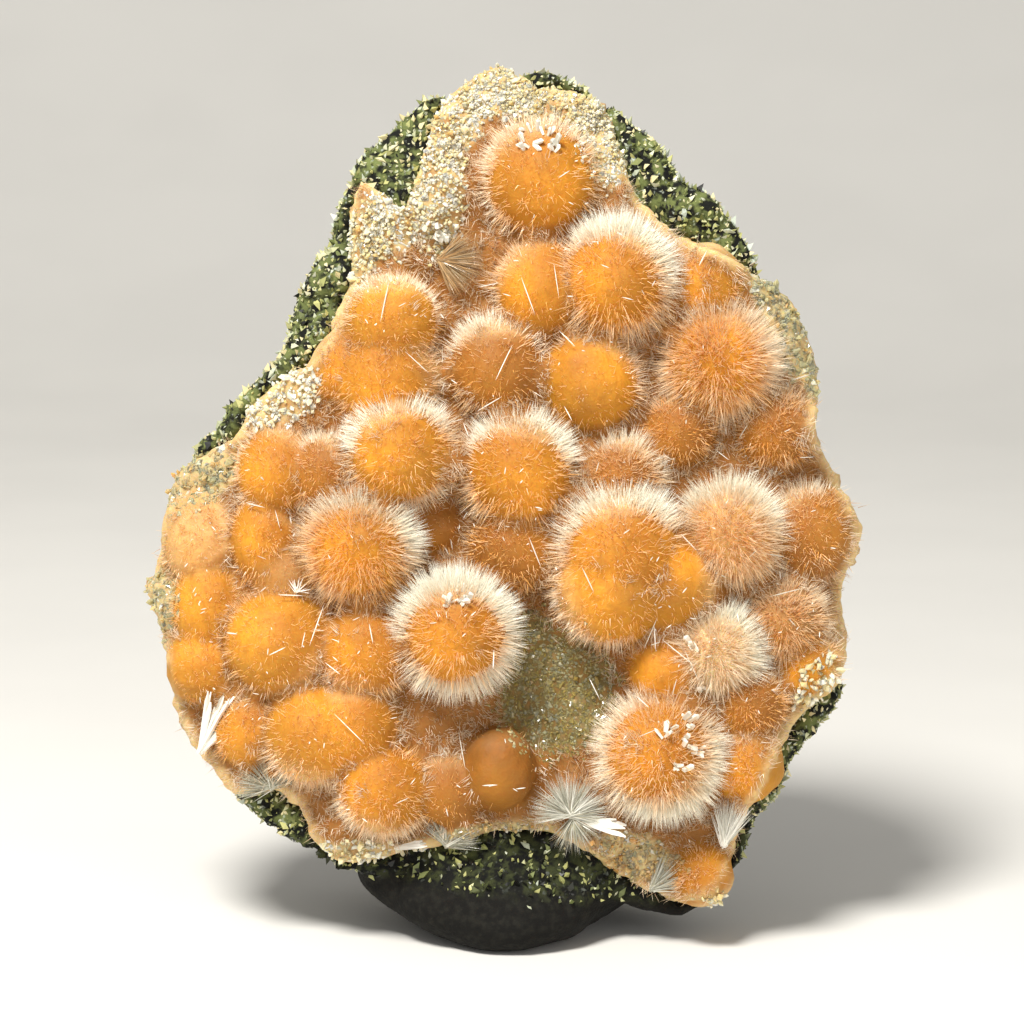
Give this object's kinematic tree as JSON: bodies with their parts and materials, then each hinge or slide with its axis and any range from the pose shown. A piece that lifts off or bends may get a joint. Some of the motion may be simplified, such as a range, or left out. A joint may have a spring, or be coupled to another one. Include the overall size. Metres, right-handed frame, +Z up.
{
  "type": "thomsonite specimen",
  "caption": "Thomsonite on basalt: orange balls of radiating needles grown together as one crust, with blocky crystals and fans of blades, standing on the rock's small flat spot.",
  "frame": {"origin": "bottom centre of the bounding box, on the surface that the specimen stands on", "axes": "+Z up, -Y the way the crystal face looks, +X to the viewer's right"},
  "size_m": [0.0722, 0.037, 0.0873],
  "materials": {
    "basalt": "rough broken granular basalt, green-black, with green patches",
    "thomsonite": "translucent orange balls under a fringe of fine white needles, with cream druse and blades at the border"
  },
  "bodies": {
    "root": {"basalt_matrix": "basalt", "thomsonite_crust": "thomsonite"}
  },
  "joints": []
}
